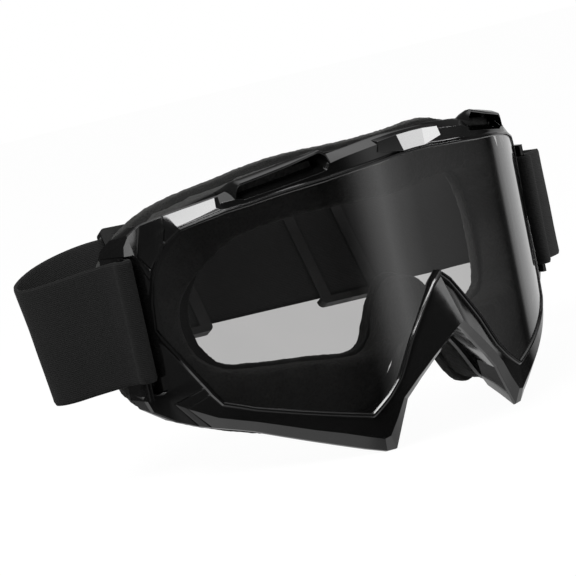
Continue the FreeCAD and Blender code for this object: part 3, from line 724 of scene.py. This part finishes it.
def build_filters(side_name, side):
    rings = []
    for x in np.linspace(31.0, 52.6, 19):
        z = np.interp(x, [30, 44, 54], [41.9, 40.2, 38.2])
        front, rear = lens_y(x) + 6.5, lens_y(x) + 10.6
        section = [(front, z - 1.9), (front, z + 0.2), (front + 0.4, z + 1.5),
                   (rear, z + 0.9), (rear, z - 1.9)]
        rings.append([(side * x, y, height) for y, height in section])
    pitted_block("scoop_filter_" + side_name, rings, "top_vent_filter_" + side_name, 11.0 * side)

    rings = []
    for x in np.linspace(40.2, 50.8, 12):
        z = np.interp(x, [39, 52], [-48.2, -42.2]) + 2.4
        front, rear = lens_y(x) + 5.4, lens_y(x) + 10.8
        section = [(front, z), (front, z + 1.8), ((front + rear) / 2, z + 1.95),
                   (rear, z + 1.8), (rear, z)]
        rings.append([(side * x, y, height) for y, height in section])
    pitted_block("low_filter_" + side_name, rings, "bottom_vent_filter_" + side_name, 5.0 * side)


# ---------------------------------------------------------------- face foam and fleece
# outer and inner outline of the +X half, from the top centre down to the nose: x, z
FOAM_OUTER = [
    (0, 44.2), (12, 44.4), (26, 44.9), (35, 44.2), (44, 42.2), (52, 40.4), (60, 38.6),
    (64, 36.8), (68, 34.2), (72, 30.6), (75.5, 25.6), (78.6, 19.6), (80.2, 12), (80.2, -17),
    (78, -25), (73.3, -31), (69, -34.4), (64, -37), (55, -40.9), (44, -44.4), (34, -46.6),
    (27, -46.8), (22, -44.6), (16.5, -36.4), (12, -29.5), (7, -23.5), (0, -19.5)]
FOAM_INNER = [
    (0, 24.5), (15, 25.2), (30, 25.5), (42, 24.4), (50, 22.5), (57, 18.4), (62, 14),
    (67.5, 7.0), (69.0, 0), (68.0, -12), (61.5, -18.8), (40, -21.0), (31, -21.8), (25, -23),
    (20.5, -23.8), (17, -24), (14.4, -22.4), (12.5, -20), (10, -12), (6, -4.5), (3.0, -1.6),
    (0, -0.5)]
HALF_COUNT = 75
FOAM_INSET = 1.0
FOAM_CROWN = 0.4
# shares of the way from the frame's rear edge to the face
FOAM_FRONT, FOAM_REAR = 0.02, 0.90
FOAM_MIDDLE = FOAM_FRONT * 0.5 + FOAM_REAR * 0.5
FOAM_NEAR_REAR = FOAM_REAR * 0.96 + FOAM_FRONT * 0.04


def padding_ring(half_outline):
    """Full ring of evenly spaced points, slightly softened."""
    points = np.array(half_outline, float)
    steps = np.hypot(*(points[1:] - points[:-1]).T)
    reached = np.concatenate([[0], np.cumsum(steps)])
    wanted = np.linspace(0, reached[-1], HALF_COUNT)
    half = np.stack([np.interp(wanted, reached, points[:, i]) for i in (0, 1)], 1)
    ring = np.array(mirror_loop(half))
    for _ in range(2):
        ring = 0.5 * ring + 0.25 * (np.roll(ring, 1, 0) + np.roll(ring, -1, 0))
    return ring


OUTER_RING, INNER_RING = padding_ring(FOAM_OUTER), padding_ring(FOAM_INNER)
# at the face the inner edge is drawn in by up to 8 mm towards the sides
FACE_RING = INNER_RING.copy()
FACE_RING[:, 0] -= (np.sign(FACE_RING[:, 0]) * 8.0
                    * np.clip((np.abs(FACE_RING[:, 0]) - 42) / 25.0, 0, 1))


def span(outer, inner):
    """Length from inner to outer, and the unit direction."""
    dx, dz = outer[0] - inner[0], outer[1] - inner[1]
    length = max(math.hypot(dx, dz), 1e-6)
    return length, dx / length, dz / length


def foam_section(outer, inner, face_inner):
    (ox, oz), (ix, iz) = outer, inner
    _, out_x, out_z = span(outer, inner)
    ax, az = ox - out_x * FOAM_INSET, oz - out_z * FOAM_INSET
    bx, bz = ix + out_x * FOAM_INSET, iz + out_z * FOAM_INSET

    def at(across, depth, bulge=0.0):
        """across is 0 at the inner wall and 1 at the outer one."""
        drawn_in = (face_inner[0] - ix) * depth * (1 - across)
        x = bx + drawn_in + (ax - bx) * across
        y = rear_y(x) * (1 - depth) + face_y(x) * depth
        return (x, y + bulge, bz + (az - bz) * across)

    outer_wall = [at(1.0, depth) for depth in (FOAM_FRONT, FOAM_MIDDLE, FOAM_NEAR_REAR)]
    rear = [at(across, FOAM_REAR, FOAM_CROWN * math.sin(math.pi * across))
            for across in (0.9, 0.7, 0.5, 0.3, 0.1)]
    inner_wall = [at(0.0, depth) for depth in (FOAM_NEAR_REAR, FOAM_MIDDLE, FOAM_FRONT)]
    front = [at(across, FOAM_FRONT) for across in (0.35, 0.65)]
    return outer_wall + rear + inner_wall + front


def puff(ob, voxel, pressure, cap, frames=20):
    """Swells a soft piece with cloth pressure; no point moves further than cap (mm)."""
    remesh = ob.modifiers.new("remesh", "REMESH")
    remesh.mode = "VOXEL"
    remesh.voxel_size = voxel * MM
    apply_modifiers(ob)
    rest = np.array([v.co for v in ob.data.vertices], float)
    scene = bpy.context.scene
    cloth = ob.modifiers.new("cloth", "CLOTH")
    settings = cloth.settings
    settings.quality = 4
    settings.mass = 0.25
    settings.tension_stiffness = settings.compression_stiffness = 22
    settings.shear_stiffness = 12
    settings.bending_stiffness = 2.0
    settings.use_pressure = True
    settings.uniform_pressure_force = pressure
    settings.effector_weights.gravity = 0
    cloth.collision_settings.use_collision = False
    cloth.point_cache.frame_start, cloth.point_cache.frame_end = 1, frames
    for number in range(1, frames + 1):
        scene.frame_set(number)
    evaluated = ob.evaluated_get(bpy.context.evaluated_depsgraph_get())
    moved = np.array([v.co for v in evaluated.data.vertices], float)
    ob.modifiers.clear()
    scene.frame_set(1)
    shift = moved - rest
    shift[~np.isfinite(shift).all(1)] = 0
    length = np.linalg.norm(shift, axis=1)
    share = np.minimum(1.0, cap * MM / np.maximum(length, 1e-9))
    swollen = rest + shift * share[:, None]
    ob.data.vertices.foreach_set("co", swollen.astype(np.float32).ravel())
    ob.data.update()
    subdivide(ob)


def build_foam():
    sections = [foam_section(*points) for points in zip(OUTER_RING, INNER_RING, FACE_RING)]
    foam = mesh_object("face_foam", *loft(sections, closed=True), M_FOAM)
    face_outward(foam)
    puff(foam, voxel=3.2, pressure=4.0, cap=1.6)
    roughen(foam, [(0.26, 140), (0.16, 520), (0.16, 1100)], rear_y)
    register(foam, "foam", "foam_core")


def build_flange():
    """The frame's rear flange, which the foam's front edge is glued to."""
    sections = []
    for outer, inner in zip(OUTER_RING, INNER_RING):
        length, out_x, out_z = span(outer, inner)
        deep = min(6.0, length * 0.5)
        section = []
        for inset, dy in ((0.8, -1.2), (0.8, 0.9), (deep, 0.9), (deep, -1.2)):
            x = outer[0] - out_x * inset
            section.append((x, rear_y(x) + dy, outer[1] - out_z * inset))
        sections.append(section)
    flange = mesh_object("foam_flange", *loft(sections, closed=True), M_SATIN)
    face_outward(flange, sharp_angle=35)
    register(flange, "frame")


# share across (0 inner, 1 outer), offset behind the face curve, offset outward
FLEECE_SECTION = [
    (1, -3.2, 0.15), (1, -2.4, 0.55), (1, -0.6, 0.75), (1, 0.9, 0.3), (1, 1.7, -0.8),
    *((across, 2.1 + 0.9 * math.sin(math.pi * across), 0) for across in (0.82, 0.62, 0.42, 0.22)),
    (0, 1.6, 0.8), (0, 0.8, -0.2), (0, -0.6, -0.5), (0, -2.2, -0.3), (0, -3.0, 0.1),
    (0.06, -3.0, 0), (0.5, -2.4, 0), (0.94, -3.0, 0)]


def build_fleece():
    """Brushed lining that caps the foam on the face side."""
    sections = []
    for outer, inner in zip(OUTER_RING, FACE_RING):
        (ox, oz), (ix, iz) = outer, inner
        _, out_x, out_z = span(outer, inner)
        wobble = 0.25 * noise.noise(Vector((ox * 0.12, oz * 0.12, 3.1)))
        section = []
        for across, dy, out in FLEECE_SECTION:
            x = ix + (ox - ix) * across + out_x * out
            z = iz + (oz - iz) * across + out_z * out
            section.append((x, face_y(x) + dy + wobble, z))
        sections.append(section)
    fleece = mesh_object("fleece_lining", *loft(sections, closed=True), M_FLEECE)
    face_outward(fleece)
    subdivide(fleece)
    roughen(fleece, [(0.2, 330), (0.2, 1200)])
    register(fleece, "fleece", "face_fleece")


# ---------------------------------------------------------------- strap
STRAP_WIDTH, STRAP_THICK = 40.0, 1.5
STRAP_COLUMNS = 41  # points across each face
WRAP_X, WRAP_Y = 84.2, 50.25  # centre of the half turn round a side bar
WRAP_RADIUS = 1.0 + 0.42 + STRAP_THICK / 2  # bar half thickness, gap, half the strap
STRAP_X = WRAP_X + WRAP_RADIUS  # where the strap leaves the half turn
END_Z = {1: 0.9, -1: 4.2}  # middle of the strap's width at each bar
BACK_START, BACK_END = np.array([-62.0, 98.0, 8.8]), np.array([66.0, 98.0, 0.4])
BACK_LEAN = math.radians(30.0)

# from the bar towards the back: top edge x y, bottom edge x y, middle z
LEFT_RUN = [
    (-STRAP_X, WRAP_Y + 0.35, -STRAP_X, WRAP_Y + 0.35, END_Z[-1]),
    (-STRAP_X, WRAP_Y + 2.0, -STRAP_X, WRAP_Y + 2.0, END_Z[-1]),
    (-87.2, 57.5, -87.6, 57.0, 3.6), (-89.3, 64.5, -90.4, 62.6, 2.6),
    (-92.4, 72.5, -94.4, 69.4, 1.3), (-97.2, 81.8, -98.6, 75.0, 0.0),
    (-100.0, 89.2, -101.0, 80.4, -0.8), (-100.7, 95.2, -100.7, 86.0, -0.9),
    (-98.4, 101.6, -96.6, 90.4, 0.6), (-91.6, 106.0, -88.6, 92.2, 3.4),
    (-82.0, 107.9, -79.0, 91.0, 6.2), (-71.5, 108.0, -70.0, 88.8, 8.2)]
RIGHT_RUN = [
    (STRAP_X, WRAP_Y + 0.35, STRAP_X, WRAP_Y + 0.35, END_Z[1]),
    (STRAP_X, WRAP_Y + 2.0, STRAP_X, WRAP_Y + 2.0, END_Z[1]),
    (89.2, 55.2, 89.0, 55.2, 0.9), (95.5, 58.0, 95.2, 57.8, 0.7),
    (102.0, 63.2, 101.4, 62.2, 0.2), (105.4, 70.5, 104.6, 67.4, -0.4),
    (105.9, 79.5, 104.2, 74.4, -0.6), (102.8, 89.0, 100.2, 81.0, -0.4),
    (95.8, 98.0, 93.2, 85.6, 0.0), (85.5, 104.6, 84.4, 87.6, 0.1),
    (74.8, 107.4, 74.4, 88.0, 0.2)]


# A path row is the top edge point followed by the bottom edge point, six numbers in all.
def run_rows(run, back_first, back_second):
    """Smooth rows from the bar up to, and without, the first row of the back."""
    rows = []
    for top_x, top_y, low_x, low_y, z in run:
        lean = ((top_x - low_x) ** 2 + (top_y - low_y) ** 2) / 4
        rise = math.sqrt(max((STRAP_WIDTH / 2) ** 2 - lean, 100.0))
        rows.append((top_x, top_y, z + rise, low_x, low_y, z - rise))
    steps = 4
    return smooth_rows(rows + [back_first, back_second], steps)[:-(steps + 1)]


def wrap_rows(side):
    """Inside tail, then the half turn round the side bar, short of its last row."""
    plan = [(WRAP_X - WRAP_RADIUS, y) for y in (65.9, 63, 60, 57, 54, 52, 50.9)]
    for angle in np.linspace(math.pi, 2 * math.pi, 9)[:-1]:
        plan.append((WRAP_X + WRAP_RADIUS * math.cos(angle),
                     WRAP_Y + WRAP_RADIUS * math.sin(angle)))
    top, low = END_Z[side] + STRAP_WIDTH / 2, END_Z[side] - STRAP_WIDTH / 2
    return [(side * x, y, top, side * x, y, low) for x, y in plan]


def back_rows():
    """Straight run behind the head, leaning about the left slider's travel axis."""
    joints = {joint["name"]: joint for joint in frame["joints"]}
    along = np.array(Vector(joints["slider_left_travel"]["axis"]))
    sideways = np.cross(np.array([0.0, 0.0, 1.0]), along)
    sideways /= np.linalg.norm(sideways)
    upright = np.cross(along, sideways)
    up = upright * math.cos(BACK_LEAN) + sideways * math.sin(BACK_LEAN)
    rows = []
    for t in np.linspace(0, 1, 12):
        centre = BACK_START + (BACK_END - BACK_START) * t
        rows.append((*(centre + up * STRAP_WIDTH / 2), *(centre - up * STRAP_WIDTH / 2)))
    return rows


def strap_path():
    back = back_rows()
    left = run_rows(LEFT_RUN, back[0], back[1])
    right = run_rows(RIGHT_RUN, back[-1], back[-2])
    rows = wrap_rows(-1) + left + smooth_rows(back, 3) + right[::-1] + wrap_rows(1)[::-1]
    return np.array(rows, float)


def build_strap():
    """One woven band from bar to bar round the back."""
    path = strap_path()
    top, low = path[:, :3], path[:, 3:]
    middle = (top + low) / 2
    tangent = np.gradient(middle, axis=0)
    tangent /= np.linalg.norm(tangent, axis=1)[:, None]
    across = top - low
    across /= np.linalg.norm(across, axis=1)[:, None]
    normal = np.cross(tangent, across)
    normal /= np.linalg.norm(normal, axis=1)[:, None]
    steps = np.linalg.norm(middle[1:] - middle[:-1], axis=1)
    length = np.concatenate([[0], np.cumsum(steps)])

    verts, uvs = [], []
    for i, (x, y, _) in enumerate(middle):
        wrapped = abs(x) < 87.2 and y < 70
        at_back = -64 < x < 68 and y > 90
        for face in (1, -1):
            for c in range(STRAP_COLUMNS)[::face]:
                share = c / float(STRAP_COLUMNS - 1)
                edge = min(share, 1 - share) * STRAP_WIDTH
                half = STRAP_THICK / 2 * (1.0 if edge > 0.8
                                          else 0.55 + 0.45 * math.sqrt(edge / 0.8))
                ripple = 0.0
                if not wrapped:
                    ripple = 0.35 * noise.noise(Vector((length[i] * 0.045, share * 2.2, 0.7)))
                if at_back:
                    ripple *= 0.35
                verts.append(low[i] + (top[i] - low[i]) * share
                             + normal[i] * (face * half * 0.98 + ripple))
                uvs.append((length[i] * MM,
                            (share if face == 1 else 1 - share) * STRAP_WIDTH * MM))

    size = 2 * STRAP_COLUMNS
    faces = side_faces(len(path), size)
    for end in (0, (len(path) - 1) * size):
        for c in range(STRAP_COLUMNS - 1):
            faces.append((end + c, end + c + 1, end + size - 2 - c, end + size - 1 - c))
    strap = mesh_object("strap_webbing", verts, faces, M_STRAP)
    layer = strap.data.uv_layers.new(name="strap_uv")
    for loop in strap.data.loops:
        layer.data[loop.index].uv = uvs[loop.vertex_index]
    face_outward(strap, sharp_angle=75)
    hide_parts("strap_left_run", "strap_right_run", "strap_back_run", "strap_end_left",
                "strap_end_right")
    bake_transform(strap)


TACK_ROWS, TACK_STITCHES = 3, 22
TACK_HEIGHT = 33
THREAD_RADIUS = 0.17


def build_bar_tack(side_name, side):
    """Rows of slanted raised threads on the strap's inside tail."""
    tail_x = WRAP_X - WRAP_RADIUS - STRAP_THICK / 2 - 0.02
    threads = []
    for row in range(TACK_ROWS):
        row_y = 60.95 + 1.7 * row
        for stitch in range(TACK_STITCHES):
            start_z = END_Z[side] - TACK_HEIGHT / 2 + TACK_HEIGHT * stitch / TACK_STITCHES
            slant = 1 if stitch % 2 else -1
            rings = []
            for t in np.linspace(0, 1, 6):
                z = start_z + 1.5 * t
                y = row_y + 0.55 * (t - 0.5) * slant
                x = tail_x - 0.34 * math.sin(math.pi * t)
                rings.append([(side * (x + THREAD_RADIUS * math.cos(angle)),
                               y + THREAD_RADIUS * math.sin(angle), z)
                              for angle in np.linspace(0, 2 * math.pi, 7)[:-1]])
            threads.append(rings)
    tack = mesh_object("bar_tack_" + side_name, *join_lofts(threads), M_THREAD)
    register(tack, "thread", "end_stitching_" + side_name)


def dress_cad_pieces():
    """The CAD sliders stay, in rounded satin; any other visible CAD piece gets the frame black."""
    sliders = ("slider_left", "slider_right")
    for name in sliders:
        slider = NODES[name]
        slider.data.materials.clear()
        slider.data.materials.append(M_SATIN)
        bevel(slider, 0.45, 3, 40)
    for name, piece in NODES.items():
        if not piece.hide_render and name not in sliders:
            piece.data.materials.clear()
            piece.data.materials.append(M_FRAME)


# ---------------------------------------------------------------- floor and world
FLOOR_Z, FLOOR_HALF = -53.05, 2600


def build_floor():
    corners = ((-1, -1), (1, -1), (1, 1), (-1, 1))
    verts = [(x * FLOOR_HALF, y * FLOOR_HALF, FLOOR_Z) for x, y in corners]
    floor = mesh_object("floor", verts, [(0, 1, 2, 3)], floor_material(), smooth=False)
    floor.visible_glossy = False


# What polished faces see, as (heading in degrees, brightness). Heading 0 is -Y, 90 is +X.
BAND_CARDS = [
    (-180, 0.15), (-150, 0.05), (-131, 0.03), (-120, 0.15), (-105, 0.25), (-97, 0.2),
    (-80, 0.12), (-61, 0.04), (-41, 0.05), (-27, 0.045), (-15, 0.02), (-8, 0.03), (-3, 0.15),
    (0, 0.3), (5, 0.6), (13, 0.95), (21, 0.62), (33, 0.36), (51, 0.27), (66, 0.18), (82, 0.10),
    (91, 0.06), (97, 0.02), (101, 0.03), (104, 0.3), (109, 0.46), (119, 0.52), (132, 0.56),
    (150, 0.4), (170, 0.2)]
LOW_CARDS = [
    (-180, 0.1), (-150, 0.6), (-126, 1.6), (-105, 1.2), (-85, 0.4), (-60, 0.08), (-14, 0.12),
    (0, 1.5), (14, 1.4), (30, 1.1), (178, 1.1)]
# brightness and blending by height: 0 is straight down, 0.5 level, 1 straight up
HEIGHT_GLOW = [(0.0, 0.04), (0.25, 0.06), (0.6, 0.035), (0.8, 0.035), (0.92, 0.7), (0.97, 1.0)]
BAND_MASK = [(0.25, 0), (0.3, 1), (0.55, 1), (0.63, 0)]
LOW_MASK = [(0.24, 1), (0.33, 0)]
NADIR_MASK = [(0.05, 1), (0.1, 0)]


def build_world():
    """White to the camera, soft grey for diffuse light, studio cards for reflections."""
    world = bpy.data.worlds.new("studio")
    bpy.context.scene.world = world
    world.use_nodes = True
    tree = world.node_tree
    tree.nodes.clear()
    split = node(tree, "ShaderNodeSeparateXYZ", {"Vector": coords(tree, "Generated")})
    forward = maths(tree, "MULTIPLY", split.outputs["Y"], -1.0)
    angle = maths(tree, "ARCTAN2", split.outputs["X"], forward)
    heading = map_range(tree, angle, (-math.pi, math.pi))
    height = map_range(tree, split.outputs["Z"], (-1.0, 1.0))

    def by_heading(cards):
        return ramp(tree, heading, [((deg + 180.0) / 360.0, level) for deg, level in cards])

    glow = ramp(tree, height, HEIGHT_GLOW)
    double_glow = blend_colours(tree, 1.0, glow, glow, "ADD")
    upper = blend_colours(tree, ramp(tree, height, BAND_MASK), double_glow,
                          by_heading(BAND_CARDS))
    lower = blend_colours(tree, ramp(tree, height, NADIR_MASK), by_heading(LOW_CARDS), grey(1.0))
    reflected = blend_colours(tree, ramp(tree, height, LOW_MASK), upper, lower)

    def background(colour, strength):
        return node(tree, "ShaderNodeBackground", {"Color": colour, "Strength": strength})

    rays = node(tree, "ShaderNodeLightPath").outputs
    lit = mix_shaders(tree, rays["Is Glossy Ray"], background(grey(1), 0.35),
                      background(reflected, 1.0))
    seen = mix_shaders(tree, rays["Is Camera Ray"], lit, background(grey(1), 1.0))
    node(tree, "ShaderNodeOutputWorld", {"Surface": seen})


# ---------------------------------------------------------------- lights and camera
def light_card(name, heading, elevation, distance, size, power, look, diffuse=True):
    """Area light aimed at `look`; angles in degrees (heading 0 is -Y), lengths in metres."""
    turn, lift = math.radians(heading), math.radians(elevation)
    direction = Vector((math.sin(turn) * math.cos(lift), -math.cos(turn) * math.cos(lift),
                        math.sin(lift)))
    place = Vector(look) + direction * distance
    data = bpy.data.lights.new(name, "AREA")
    data.shape = "RECTANGLE"
    data.size, data.size_y = size
    data.energy = power
    light = bpy.data.objects.new(name, data)
    bpy.context.scene.collection.objects.link(light)
    light.location = place
    light.rotation_euler = (Vector(look) - place).to_track_quat("-Z", "Y").to_euler()
    light.visible_camera = False
    light.visible_diffuse = diffuse


def build_lights():
    light_card("key_left", heading=-79, elevation=50, distance=0.8, size=(0.38, 0.28),
               power=5.2, look=(-0.06, 0.03, 0.02))
    light_card("brow_card", heading=52, elevation=12, distance=0.9, size=(0.73, 0.29),
               power=9.8, look=(0.01, 0.0, 0.042), diffuse=False)
    light_card("shoulder_card", heading=-63, elevation=25, distance=0.9, size=(0.2, 0.14),
               power=0.3, look=(-0.08, 0.05, 0.027), diffuse=False)
    light_card("wing_card", heading=-28, elevation=35, distance=0.9, size=(0.2, 0.14),
               power=0.35, look=(-0.083, 0.052, 0.027), diffuse=False)


# camera axes and place in the world, metres; it looks against CAMERA_BACK
CAMERA_RIGHT = (0.81177, -0.54564, -0.20811)
CAMERA_UP = (0.25218, 0.00611, 0.96766)
CAMERA_BACK = (-0.52672, -0.83800, 0.14255)
CAMERA_PLACE = (-0.38021, -0.51415, 0.09606)


def build_camera():
    data = bpy.data.cameras.new("photo_view")
    data.lens = 126.02
    data.sensor_width = 36.0
    data.clip_start = 0.01
    camera = bpy.data.objects.new("photo_view", data)
    scene = bpy.context.scene
    scene.collection.objects.link(camera)
    camera.matrix_world = Matrix(((*CAMERA_RIGHT, 0), (*CAMERA_UP, 0), (*CAMERA_BACK, 0),
                                  (*CAMERA_PLACE, 1))).transposed()
    scene.camera = camera
    scene.view_settings.view_transform = "Standard"
    scene.view_settings.look = "None"


# ---------------------------------------------------------------- build everything
build_shell()
build_side_bars()
build_boss()
build_lens()
for side_name, side in SIDES:
    build_scoop(side_name, side)
for side_name, side in SIDES:
    build_filters(side_name, side)
build_foam()
build_flange()
build_fleece()
build_strap()
for side_name, side in SIDES:
    build_bar_tack(side_name, side)
dress_cad_pieces()
build_floor()
build_world()
build_lights()
build_camera()

bpy.context.view_layer.update()
